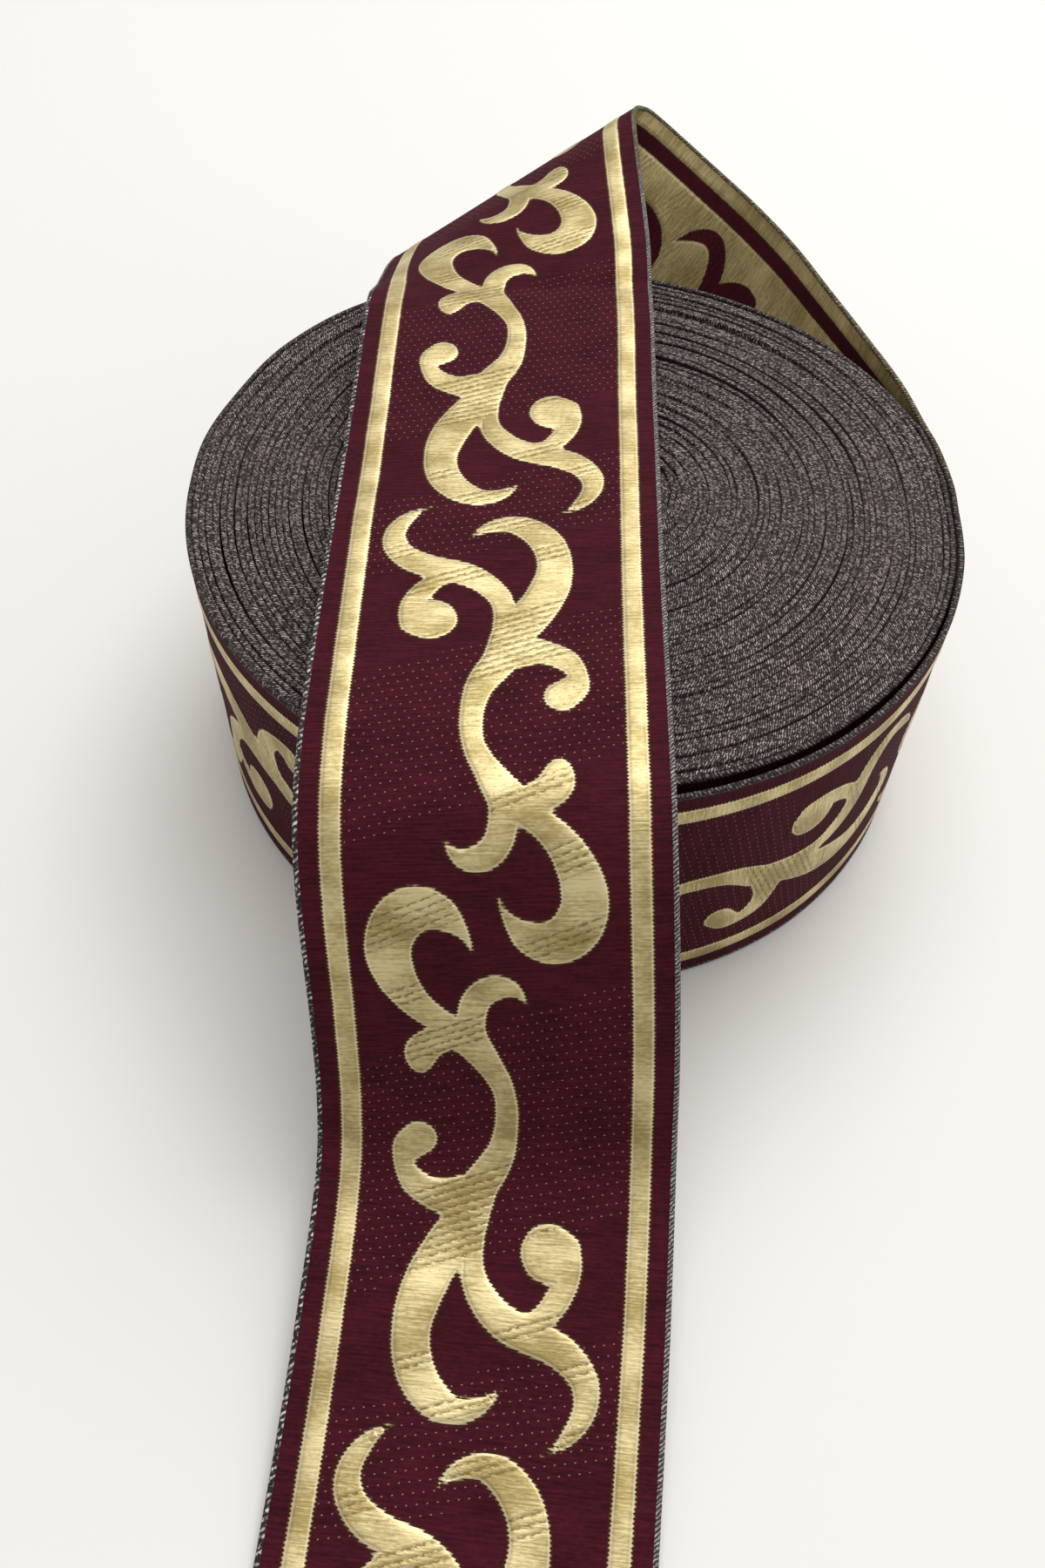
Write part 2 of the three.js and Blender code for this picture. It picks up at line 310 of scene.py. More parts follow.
def flat_length(edge):
    """Length on the flat cloth for each dense point of an edge."""
    walked = length_along(edge)
    flat = middle_length - middle_length[zero_row]
    band = slice(let_go, crest + 1)
    share = (walked[crest] - walked[band]) / (walked[crest] - walked[let_go])
    flat[band] = flat[crest] - BAND_LENGTH * share
    flat[:let_go] = flat[let_go] - (walked[let_go] - walked[:let_go])
    return flat


flat_upper = flat_length(dense_upper)
flat_lower = flat_length(dense_lower)
cloth_start = flat_upper[0]

# %% [markdown]
# ## The scroll, charted
# The figure is a running scroll of C and S curves, the kind that trims have had for centuries. One figure is
# a few tapered brush strokes; the next is the same figure turned half round, and so on. Each stroke is
# charted here as knots of its middle line with half of its breadth, in millimetres on the flat cloth.
#
# The chart could be drawn in the material, but that would need hundreds of nodes. Instead each point of the
# cloth gets its distance to the figure's outline, and the material only cuts it at zero, thread by thread.

# %% Chart of one figure
FIGURE_REPEAT = 140.2
TURN_CENTRE = 79.6
TURN_SHIFT = 0.6

# length along the cloth, distance from the middle line, half breadth
STROKES = {
    "great comma": [
        (83.6, -2.1, 0.1), (81.5, -2.8, 0.5), (79.5, -4.1, 1.25), (77.6, -6.3, 2.4),
        (77.0, -9.2, 3.2), (78.5, -11.8, 3.4), (81.8, -13.3, 3.2), (85.1, -13.1, 2.95),
        (88.3, -11.9, 2.55), (91.1, -10.0, 2.15), (93.3, -7.6, 1.9), (95.2, -5.2, 2.0),
        (97.0, -3.6, 2.2),
    ],
    "hook and stem": [
        (91.2, 4.65, 0.1), (89.7, 3.7, 0.65), (88.7, 2.2, 1.35), (88.6, 0.5, 1.85),
        (89.4, -1.2, 2.0), (91.0, -2.4, 2.0), (93.0, -2.9, 2.0), (95.0, -3.2, 2.15),
        (97.0, -3.0, 2.4), (99.0, -1.8, 2.15), (101.0, -0.6, 1.8), (103.0, 0.5, 1.65),
        (105.0, 1.2, 1.5), (107.5, 1.5, 1.6), (110.0, 1.45, 1.65), (112.5, 1.1, 1.85),
        (114.5, 0.5, 2.1), (116.5, -0.6, 2.4), (118.5, -1.9, 2.6), (121.0, -2.9, 2.9),
    ],
    "blunt lobe": [
        (95.6, -5.5, 2.3), (96.9, -8.3, 2.3), (98.2, -9.8, 2.45), (99.8, -10.2, 1.95),
        (101.3, -10.3, 0.85),
    ],
    "curl": [
        (112.3, -10.7, 2.55), (113.5, -12.1, 2.25), (115.2, -12.9, 1.45), (117.0, -12.4, 1.5),
        (118.8, -11.0, 1.9), (120.0, -8.8, 2.1), (120.5, -6.5, 2.5), (120.3, -4.5, 2.9),
    ],
    "crescent": [
        (121.0, -3.1, 3.0), (123.5, -3.5, 3.0), (126.2, -5.0, 3.4), (129.0, -7.0, 3.05),
        (131.5, -8.1, 3.05), (134.5, -9.0, 2.9), (137.5, -9.45, 2.65), (140.5, -9.2, 2.6),
        (143.0, -8.3, 2.6), (145.1, -6.8, 2.45), (146.6, -4.9, 2.2), (147.3, -3.0, 1.75),
        (147.1, -0.8, 1.4), (146.3, 1.0, 0.95), (145.2, 2.3, 0.5), (144.2, 3.2, 0.1),
    ],
    "branch and tail": [
        (123.5, -3.0, 2.4), (126.0, -2.5, 1.7), (129.0, -2.2, 1.5), (131.5, -1.6, 1.8),
        (133.3, -0.4, 2.0), (134.9, 1.0, 2.1), (136.4, 3.2, 2.25), (137.4, 6.0, 2.3),
        (138.2, 8.6, 2.2), (139.2, 10.8, 2.2), (140.8, 12.9, 2.0), (142.8, 14.2, 1.85),
        (145.2, 14.4, 1.6), (147.3, 13.6, 1.35), (149.0, 12.4, 1.0), (150.3, 11.0, 0.5),
        (151.3, 9.3, 0.1),
    ],
    "ball": [(126.9, 8.0, 3.8), (127.1, 8.1, 3.8)],
    "ball's arm": [
        (126.3, 10.2, 2.2), (128.8, 10.9, 1.8), (131.2, 10.4, 1.75), (133.3, 9.3, 1.75),
        (135.2, 7.8, 1.6), (136.8, 5.5, 1.8),
    ],
}
# The turned figure is a little shorter round the ball: where a place on it lies in the chart.
TURNED_PLACES = [60.0, 123.0, 130.6, 134.6, 149.2, 170.0]
CHART_PLACES = [60.0, 123.0, 130.9, 135.6, 150.6, 171.4]
FIGURE_BEGIN = 73.0
FIGURE_END = 152.0
FIGURE_REACH = 6.0
print("strokes:", ", ".join(STROKES))


# %% Distance to the figure's outline
def stroke_segments(knots, parts=5):
    if len(knots) < 3:
        return np.array(knots, float)
    return smooth_curve(knots, np.linspace(0, 1, (len(knots) - 1) * parts + 1))


SEGMENTS = []
for knots in STROKES.values():
    path = stroke_segments(knots)
    SEGMENTS += list(zip(path[:-1], path[1:]))


def inside_figure(length, side):
    """How far each point of the flat cloth lies inside the scroll, in millimetres; outside it is negative."""
    deepest = np.full(length.shape, -FIGURE_REACH)
    first = int(math.floor((length.min() - FIGURE_END) / FIGURE_REPEAT)) - 1
    last = int(math.ceil((length.max() - FIGURE_BEGIN) / FIGURE_REPEAT)) + 1
    for repeat in range(first, last + 1):
        for turned in (False, True):
            s = length - repeat * FIGURE_REPEAT
            v = side
            if turned:
                s = np.interp(2 * TURN_CENTRE - s, TURNED_PLACES, CHART_PLACES, left=0, right=999)
                v = -side - TURN_SHIFT
            near = (s > FIGURE_BEGIN - FIGURE_REACH) & (s < FIGURE_END + FIGURE_REACH)
            if not near.any():
                continue
            s = s[near]
            v = v[near]
            depth = deepest[near]
            for a, b in SEGMENTS:
                step = b[:2] - a[:2]
                share = ((s - a[0]) * step[0] + (v - a[1]) * step[1]) / max(step @ step, 1e-9)
                share = np.clip(share, 0, 1)
                gap = np.hypot(s - a[0] - share * step[0], v - a[1] - share * step[1])
                depth = np.maximum(depth, a[2] + (b[2] - a[2]) * share - gap)
            deepest[near] = depth
    return deepest


# %% [markdown]
# ## From lines across to a sheet of cloth
# A ribbon has a body and two selvedges, where the weft turns back round a cord. The section across the cloth
# is one closed loop of points: the face, a round selvedge, the reverse, the other selvedge. Swept from line
# to line it gives a closed skin with a real thickness. Extruding a flat grid with a Solidify modifier would
# also do, but then the selvedges would be square.

# %% Section across the cloth
HALF_CLOTH = 0.36
SELVEDGE_RADIUS = 0.5
SELVEDGE_CENTRE = RIBBON_WIDTH / 2 - SELVEDGE_RADIUS
BODY_EDGE = SELVEDGE_CENTRE - 0.25
FACE, REVERSE, SELVEDGE = 0, 1, 2
STRIPE_CENTRE = 20.1
STRIPE_HALF = 1.45
FLOAT_RELIEF = 0.13
FLOAT_SLOPE = 0.9
FLOAT_AT_OUTLINE = 0.3

# Soft troughs and ridges: length along the cloth, side, reach along, reach across, height, turn in degrees.
CREASES = [
    (-62, 14, 9, 14, 0.4, 10),
    (-53, 16, 5, 13, 0.45, 0),
    (-46, 14, 1.7, 22, -0.5, 0),
    (-37, 20, 5, 8, 0.34, 8),
    (-34, -20, 5, 7, -0.3, -5),
    (-22, -20, 5, 7, 0.34, 5),
    (-14, -4, 6, 14, -0.32, 10),
    (-4, 20, 6, 8, 0.32, -8),
    (2, -20, 6, 7, -0.3, 6),
    (14, -16, 6, 9, 0.34, 5),
    (22, 18, 5, 8, -0.28, 0),
    (31, 4, 7, 15, -0.34, -8),
    (44, 20, 5, 8, 0.34, 4),
    (52, -20, 5, 8, 0.32, 0),
    (62, 8, 7, 12, 0.3, 12),
    (74, -20, 5, 7, -0.3, 6),
    (86, 12, 7, 12, -0.36, 12),
    (97, -20, 5, 8, 0.36, -6),
    (102, 18, 5, 8, 0.3, 8),
    (112, 0, 2.4, 34, -0.3, -3),
    (122, 20, 6, 8, 0.34, 6),
    (127, -6, 6, 12, -0.3, 14),
    (136, -20, 6, 8, 0.36, -10),
    (146, 8, 7, 14, -0.34, 8),
    (158, 20, 6, 8, 0.34, 0),
    (164, -16, 7, 9, 0.3, -8),
]


def section_loop(face_parts, reverse_parts):
    """Points (side, height) round the section, and the finish of the strip that starts at each of them."""
    loop = []
    for k in range(face_parts + 1):
        side = -BODY_EDGE + 2 * BODY_EDGE * k / face_parts
        loop.append((side, HALF_CLOTH, FACE if k < face_parts else SELVEDGE))
    for degrees in (70, 35, 0, -35, -70):
        angle = math.radians(degrees)
        side = SELVEDGE_CENTRE + SELVEDGE_RADIUS * math.cos(angle)
        loop.append((side, SELVEDGE_RADIUS * math.sin(angle), SELVEDGE))
    for k in range(reverse_parts + 1):
        side = BODY_EDGE - 2 * BODY_EDGE * k / reverse_parts
        loop.append((side, -HALF_CLOTH, REVERSE if k < reverse_parts else SELVEDGE))
    for degrees in (250, 215, 180, 145, 110):
        angle = math.radians(degrees)
        side = -SELVEDGE_CENTRE + SELVEDGE_RADIUS * math.cos(angle)
        loop.append((side, SELVEDGE_RADIUS * math.sin(angle), SELVEDGE))
    return loop


def crease_lift(length, side):
    """How far the soft creases raise or sink each point of the cloth, in millimetres."""
    lift = np.zeros(length.shape)
    for at, across, reach_along, reach_across, height, turned in CREASES:
        turn = math.radians(turned)
        u = (length - at) * math.cos(turn) - (side - across) * math.sin(turn)
        w = (length - at) * math.sin(turn) + (side - across) * math.cos(turn)
        lift += height * np.exp(-((u / reach_along) ** 2) - (w / reach_across) ** 2)
    return lift


def cloth_mesh(name, upper_edge, lower_edge, upper_flat, lower_flat, loop, creased):
    """A closed skin round the rows of lines between two edges, with the flat coordinates on its points."""
    rows = len(upper_edge)
    sides = np.array([point[0] for point in loop])
    heights = np.array([point[1] for point in loop])
    share = (sides / RIBBON_WIDTH + 0.5)[None, :, None]
    points = lower_edge[:, None] * (1 - share) + upper_edge[:, None] * share
    along = np.gradient(points, axis=0)
    across = (upper_edge - lower_edge)[:, None] * np.ones_like(share)
    normal = np.cross(along, across)
    normal /= np.linalg.norm(normal, axis=2)[..., None]
    length = lower_flat[:, None] * (1 - share[..., 0]) + upper_flat[:, None] * share[..., 0]
    side = np.broadcast_to(sides, length.shape)
    askew = np.clip((ASKEW_ENDS - length) / ASKEW_FADES, 0, 1)
    woven = length + askew * (WEAVE_SLANT * side - WEAVE_LAG)
    depth = inside_figure(woven.ravel(), side.ravel()).reshape(side.shape)
    inside = np.maximum(depth, STRIPE_HALF - np.abs(np.abs(side) - STRIPE_CENTRE))
    float_rise = FLOAT_RELIEF * np.clip(inside / FLOAT_SLOPE + FLOAT_AT_OUTLINE, 0, 1)
    lift = heights + np.where(heights == HALF_CLOTH, float_rise, 0)
    if creased:
        lift = lift + crease_lift(length, side)
    points = points + normal * lift[..., None]

    count = len(loop)
    here = np.arange(count)
    after = (here + 1) % count
    starts = (np.arange(rows - 1) * count)[:, None]
    quads = np.stack([starts + here, starts + count + here, starts + count + after, starts + after], axis=2)
    faces = [tuple(quad) for quad in quads.reshape(-1, 4).tolist()]
    finishes = [point[2] for point in loop] * (rows - 1)
    faces.append(tuple(range(count)))
    faces.append(tuple(range((rows - 1) * count, rows * count))[::-1])
    finishes += [REVERSE, REVERSE]

    mesh = bpy.data.meshes.new(name)
    mesh.from_pydata((points.reshape(-1, 3) * MM).tolist(), [], faces)
    mesh.polygons.foreach_set("material_index", finishes)
    mesh.polygons.foreach_set("use_smooth", [True] * len(faces))
    flat = np.stack([woven, side, np.zeros_like(side)], axis=2)
    mesh.attributes.new("cloth_mm", "FLOAT_VECTOR", "POINT").data.foreach_set("vector", flat.ravel())
    mesh.attributes.new("scroll_mm", "FLOAT", "POINT").data.foreach_set("value", depth.ravel())
    mesh.validate()
    return mesh


# %% The loose end
ROW_STEP = 0.8
FACE_PARTS = 58

even_rows = np.linspace(0, middle_length[-1], int(middle_length[-1] / ROW_STEP) + 1)
row_places = np.interp(even_rows, middle_length, dense_places)
loose_mesh = cloth_mesh(
    "loose_ribbon",
    smooth_curve(upper, row_places),
    smooth_curve(lower, row_places),
    np.interp(row_places, dense_places, flat_upper),
    np.interp(row_places, dense_places, flat_lower),
    section_loop(FACE_PARTS, FACE_PARTS),
    creased=True,
)
loose_ribbon = bpy.data.objects.new("loose_ribbon", loose_mesh)
put_in_scene(loose_ribbon)
print("loose ribbon:", len(loose_mesh.polygons), "faces")

# %% [markdown]
# ## The wound part
# The roll is one ribbon in about sixty turns, and what shows of it is the upper selvedge of every turn.
# A spiral is a rule, so Geometry Nodes make it: points in a row, each placed by its number, are joined to a
# curve, and a section of the cloth with rounded edges is swept along it. The distance between points along
# the cloth stays the same from the middle to the rim, because the radius grows as the square root of the
# length wound.
#
# The turns crowd a little on the right and lie a little wider on the left, stand slightly higher or lower
# than their neighbours, and leave thin dark gaps here and there, as on any roll wound by hand; the material
# adds painted shade to the edges of the turns in places.

# %% One function for all nodes
def add_node(tree, kind, *inputs, named=None, give=0, **settings):
    """Adds a node with its settings and links, and gives back one of its outputs.

    Text that comes first is the node's operation. Inputs follow in their order, or come by name or number in
    named; each is a value or another node's output.
    """
    if inputs and isinstance(inputs[0], str):
        settings["operation"], *inputs = inputs
    node = tree.nodes.new(kind)
    for key, value in settings.items():
        setattr(node, key, value)
    for key, value in [*enumerate(inputs), *(named or {}).items()]:
        if isinstance(value, bpy.types.NodeSocket):
            tree.links.new(value, node.inputs[key])
        else:
            node.inputs[key].default_value = value
    return node.outputs[give] if node.outputs else node


MATH = "ShaderNodeMath"
VECTOR_MATH = "ShaderNodeVectorMath"
COMBINE = "ShaderNodeCombineXYZ"
SEPARATE = "ShaderNodeSeparateXYZ"
NOISE = "ShaderNodeTexNoise"
MAP_RANGE = "ShaderNodeMapRange"
MIX = "ShaderNodeMix"
ATTRIBUTE = "ShaderNodeAttribute"
NAMED_VALUE = "GeometryNodeStoreNamedAttribute"
PLACE = "GeometryNodeSetPosition"

# Settings that many nodes share
COLOURS = {"data_type": "RGBA", "give": 2}
SMOOTH = {"interpolation_type": "SMOOTHSTEP"}

# %% Node tree for the spiral
TURN_PITCH = 0.95
WOUND_RADIUS = 59.13
INNER_RADIUS = 2.0
WOUND_STEP = 3.6
CENTRE_SHIFT = (4.5, 1.0)
NOISE_SPREAD = 4.0

# How far the rim stands outside a true spiral, in millimetres, by the share of a turn from the start of the
# outermost turn: drawn in behind the loose turn, full at the rear left. The curve of the node tree holds
# these values as a share of the span that starts at the lowest one it can hold.
RIM_FORM = [
    (0.0, 0.30), (0.039, 0.03), (0.094, -0.62), (0.158, -0.18), (0.228, 0.15),
    (0.269, 0.01), (0.306, -0.32), (0.333, 0.25), (0.364, 0.62), (0.472, 0.62),
    (0.561, 0.84), (0.631, 1.67), (0.686, 2.32), (0.714, 2.19), (0.756, 1.35),
    (0.783, 1.53), (0.817, 1.04), (0.881, 0.93), (0.95, 0.77), (1.0, 0.30),
]
RIM_FORM_LOW = -1.0
RIM_FORM_SPAN = 4.0


def spiral_tree():
    tree = bpy.data.node_groups.new("wound_spiral", "GeometryNodeTree")
    sizes = {
        "Outer radius": WOUND_RADIUS * MM,
        "Inner radius": INNER_RADIUS * MM,
        "Turn pitch": TURN_PITCH * MM,
        "Point step": WOUND_STEP * MM,
        "End azimuth": math.radians(first_azimuth),
        "Ribbon width": 49.3 * MM,
        "Cloth thickness": 0.95 * MM,
        "Edge rounding": 0.22 * MM,
        "Unevenness": 0.14 * MM,
        "Height unevenness": 0.5 * MM,
    }
    for name, value in sizes.items():
        socket = tree.interface.new_socket(name, in_out="INPUT", socket_type="NodeSocketFloat")
        socket.default_value = value
    tree.interface.new_socket("Seed", in_out="INPUT", socket_type="NodeSocketInt")
    tree.interface.new_socket("Material", in_out="INPUT", socket_type="NodeSocketMaterial")
    tree.interface.new_socket("Geometry", in_out="OUTPUT", socket_type="NodeSocketGeometry")
    add = partial(add_node, tree)
    given = tree.nodes.new("NodeGroupInput").outputs

    # The length wound grows with the square of the radius, so equal lengths are equal steps of the square.
    outer_square = add(MATH, "POWER", given["Outer radius"], 2.0)
    inner_square = add(MATH, "POWER", given["Inner radius"], 2.0)
    per_length = add(MATH, "DIVIDE", given["Turn pitch"], math.pi)
    difference = add(MATH, "SUBTRACT", outer_square, inner_square)
    wound = add(MATH, "DIVIDE", difference, per_length)
    count = add(MATH, "DIVIDE", wound, given["Point step"])
    line = add("GeometryNodeMeshLine", named={"Count": count})
    number = add("GeometryNodeInputIndex")
    last = add(MATH, "SUBTRACT", add(MATH, "FLOOR", count), 1.0)
    length = add(MATH, "MULTIPLY", add(MATH, "DIVIDE", number, last), wound)
    square = add(MATH, "MULTIPLY_ADD", length, per_length, inner_square)
    radius = add(MATH, "SQRT", square)
    inwards = add(MATH, "SUBTRACT", given["Outer radius"], radius)
    turns = add(MATH, "DIVIDE", inwards, given["Turn pitch"])
    angle = add(MATH, "MULTIPLY_ADD", turns, -2 * math.pi, given["End azimuth"])
    cosine = add(MATH, "COSINE", angle)
    sine = add(MATH, "SINE", angle)

    # The form of the rim fades towards the middle.
    share = add(MATH, "DIVIDE", radius, given["Outer radius"])
    round_share = add(MATH, "FRACT", add(MATH, "MULTIPLY", turns, -1.0))
    form = add("ShaderNodeFloatCurve", named={"Value": round_share})
    points = form.node.mapping.curves[0].points
    for at, millimetres in RIM_FORM[1:-1]:
        points.new(at, (millimetres - RIM_FORM_LOW) / RIM_FORM_SPAN)
    for end, (at, millimetres) in ((0, RIM_FORM[0]), (-1, RIM_FORM[-1])):
        points[end].location = (at, (millimetres - RIM_FORM_LOW) / RIM_FORM_SPAN)
    form.node.mapping.update()
    in_metres = add(MATH, "MULTIPLY_ADD", form, RIM_FORM_SPAN * MM, RIM_FORM_LOW * MM)
    fade = add(MATH, "POWER", share, 3.0)
    formed = add(MATH, "MULTIPLY_ADD", in_metres, fade, radius)

    # Each turn wanders a little, sideways and in height: noise round a half, spread to about -1 to 1.
    seed = add(MATH, "MULTIPLY", given["Seed"], 17.3)
    level = add(MATH, "MULTIPLY_ADD", turns, 3.7, seed)
    noise_place = add(COMBINE, cosine, sine, level)
    wander = add(NOISE, named={"Vector": noise_place, "Scale": 0.9, "Detail": 1.0}, give="Color")
    channels = (add("FunctionNodeSeparateColor", wander, give=k) for k in range(2))
    centred = (add(MATH, "SUBTRACT", channel, 0.5) for channel in channels)
    off_radius, off_height = (add(MATH, "MULTIPLY", value, NOISE_SPREAD) for value in centred)
    reach = add(MATH, "MULTIPLY_ADD", off_radius, given["Unevenness"], formed)
    height = add(MATH, "MULTIPLY", off_height, given["Height unevenness"])
    off_centre = add(MATH, "SUBTRACT", 1.0, share)
    centre = (add(MATH, "MULTIPLY", off_centre, shift * MM) for shift in CENTRE_SHIFT)
    x, y = (add(MATH, "MULTIPLY_ADD", reach, *pair) for pair in zip((cosine, sine), centre))
    placed = add(PLACE, line, named={"Position": add(COMBINE, x, y, height)})
    along = add(MATH, "MULTIPLY", length, 1 / MM)
    measured = add(NAMED_VALUE, placed, named={"Name": "along_mm", "Value": along})
    counted = add(NAMED_VALUE, measured, named={"Name": "turn_number", "Value": turns})
    curve = add("GeometryNodeMeshToCurve", counted)
    upright = add("GeometryNodeSetCurveNormal", curve, mode="Z_UP")

    # The section of the cloth, with rounded edges.
    section = add(
        "GeometryNodeCurvePrimitiveQuadrilateral",
        named={"Width": given["Cloth thickness"], "Height": given["Ribbon width"]},
    )
    rounded = add(
        "GeometryNodeFilletCurve", section, named={"Count": 2, "Radius": given["Edge rounding"]}, mode="POLY"
    )
    flat_x = add(SEPARATE, add("GeometryNodeInputPosition"))
    across = add(MATH, "MULTIPLY", flat_x, 1 / MM)
    section_measured = add(NAMED_VALUE, rounded, named={"Name": "across_mm", "Value": across})
    swept = add("GeometryNodeCurveToMesh", upright, section_measured, named={"Fill Caps": True})

    # The lower edges all stand on the table; only the upper ones are uneven.
    raised_place = add("GeometryNodeInputPosition")
    new_x, new_y, old_z = (add(SEPARATE, raised_place, give=k) for k in range(3))
    half_width = add(MATH, "MULTIPLY_ADD", given["Ribbon width"], 0.5, 0.35 * MM)
    new_z = add(MATH, "MAXIMUM", add(MATH, "ADD", old_z, half_width), 0.1 * MM)
    standing = add(PLACE, swept, named={"Position": add(COMBINE, new_x, new_y, new_z)})
    realized = add("GeometryNodeRealizeInstances", standing)
    finished = add("GeometryNodeSetMaterial", realized, named={"Material": given["Material"]})
    add("NodeGroupOutput", finished)
    print("spiral tree:", len(tree.nodes), "nodes")
    return tree


# %% [markdown]
# ## Materials
# The ribbon is a jacquard: one cloth whose threads change places. On the face the ground is a fine-ribbed
# burgundy warp and the figure is a gold weft that floats on it like satin; on the reverse they are exchanged.
# Bound picks show as rows of tiny light dots on the ground and short dark dashes on the gold. The edges of
# the figure are stepped, because each pick of the weft starts and stops on its own thread.
#
# Scales come from real sizes: stripes 2.9 mm wide, light dots 1.3 mm apart in rows 1.35 mm apart, dark dashes
# 1.75 mm apart in rows 1.15 mm apart. A printed figure would have smooth outlines and no relief.

# %% Colours and thread sizes
# Such a ribbon has picks about 0.45 mm apart; they are drawn a little coarser, so that they show.
PICK = 0.54
DASH_ROWS = 1.15
DASH_REPEAT = 1.75
DOT_ROWS = 1.35
DOT_REPEAT = 1.3
DOT_SLOPE = 0.21

# How strongly each mark of the weave shows on the face and on the reverse; the furrow is painted shade and
# the float end a painted highlight
MARKS = {"furrow": (0.2, 0.05), "dash": (0.75, 0.15), "dot": (0.42, 0.1), "float end highlight": (0.45, 0.1)}

# Places along the cloth, in millimetres: where the gap behind the loose turn opens to the light, where the
# cords turn from dark to olive gold, and where they take the colours that they have on the run.
GAP_OPENS = (-590.0, -570.0)
BAND_BEGINS = (-232.0, -214.0)
RUN_BEGINS = (-80.0, -66.0)

# Heights on the roll, in millimetres, between which its burgundy cloth gives way to the cord
CORD_HEIGHTS = (48.2, 49.3)

# Bands of the repeat, in millimetres along the cloth, in which the weave binds its threads differently. They
# rise to the right as the rows of bound threads do.
BAND_SLOPE = 0.36
GROUND_DOT_BANDS = [(2, 18), (36, 62), (94, 128)]
GOLD_DASH_BANDS = [
    (4, 7), (12, 15), (20, 24), (32, 43), (62, 65), (72, 77), (83, 87), (92, 96), (116, 127), (137, 140.2),
]

BURGUNDY_LIGHT = "#4c1422"
BURGUNDY_DEEP = "#2c0911"
GROUND_DOT = "#c7a09a"
# The two gold colours are the dim and the bright ends of the gold's painted sheen.
GOLD_SHEEN_LIGHT = "#dccc9b"
GOLD_SHEEN_DEEP = "#a08d5b"
# Painted shade in the satin's furrows, also the colour of the binding dashes.
GOLD_BOUND_SHADE = "#71602f"
# Painted highlight at the ends of the floats.
GOLD_END_HIGHLIGHT = "#f1e8c6"
# Painted shade along the edges of the figure.
FIGURE_EDGE_SHADE = "#3b2418"
SELVEDGE_LIGHT = "#b4afac"
SELVEDGE_MID = "#78716f"
SELVEDGE_DARK = "#282223"
LEFT_LIGHT = "#d8d4d0"
LEFT_DARK = "#1e191a"
BAND_LIGHT = "#b3a57c"
BAND_MID = "#5d5338"
LOOSE_LIGHT = "#8a7f7b"
WOUND_LIGHT = "#bdaea8"
WOUND_MID = "#362c2c"
WOUND_SHADE = "#1a1213"


def linear(hex_colour):
    """An sRGB hex colour as linear light."""
    values = [int(hex_colour[k : k + 2], 16) / 255 for k in (1, 3, 5)]
    return tuple(v / 12.92 if v <= 0.04045 else ((v + 0.055) / 1.055) ** 2.4 for v in values) + (1.0,)


def new_material(name):
    material = bpy.data.materials.new(name)
    material.use_nodes = True
    material.node_tree.nodes.clear()
    return material


def paint_bands(socket, bands, repeat):
    """Makes the colour ramp behind a socket white within bands of the repeat and black between them."""
    ramp = socket.node.color_ramp
    ramp.interpolation = "CONSTANT"
    ramp.elements.remove(ramp.elements[1])
    ramp.elements[0].color = (0, 0, 0, 1)
    for begin, end in bands:
        ramp.elements.new(begin / repeat).color = (1, 1, 1, 1)
        if end < repeat:
            ramp.elements.new(end / repeat).color = (0, 0, 0, 1)


# %% Where the weave is gold
def gold_threads(tree, s, v):
    """How much each point belongs to a gold float, and how far inside the float it lies, in millimetres."""
    add = partial(add_node, tree)
    scroll = add(ATTRIBUTE, attribute_name="scroll_mm", give="Fac")
    from_middle = add(MATH, "ABSOLUTE", v)
    off_centre = add(MATH, "ABSOLUTE", add(MATH, "SUBTRACT", from_middle, STRIPE_CENTRE))
    stripe = add(MATH, "SUBTRACT", STRIPE_HALF, off_centre)
    depth = add(MATH, "MAXIMUM", scroll, stripe)

    # Each pick ends on its own thread, a little before or after the drawn outline.
    picks = add(MATH, "DIVIDE", s, PICK)
    pick = add(MATH, "FLOOR", picks)
    block = add(MATH, "FLOOR", add(MATH, "DIVIDE", v, 2.0))
    thread = add("ShaderNodeTexWhiteNoise", add(COMBINE, pick, block), noise_dimensions="2D", give="Value")
    rib = add(MATH, "PINGPONG", add(MATH, "FRACT", picks), 0.5)
    tooth = add(MATH, "MULTIPLY_ADD", thread, 0.12, add(MATH, "MULTIPLY_ADD", rib, 0.7, -0.23))
    toothed = add(MATH, "ADD", depth, tooth)
    gold = add(MAP_RANGE, toothed, -0.06, 0.06, **SMOOTH)
    return gold, depth, rib


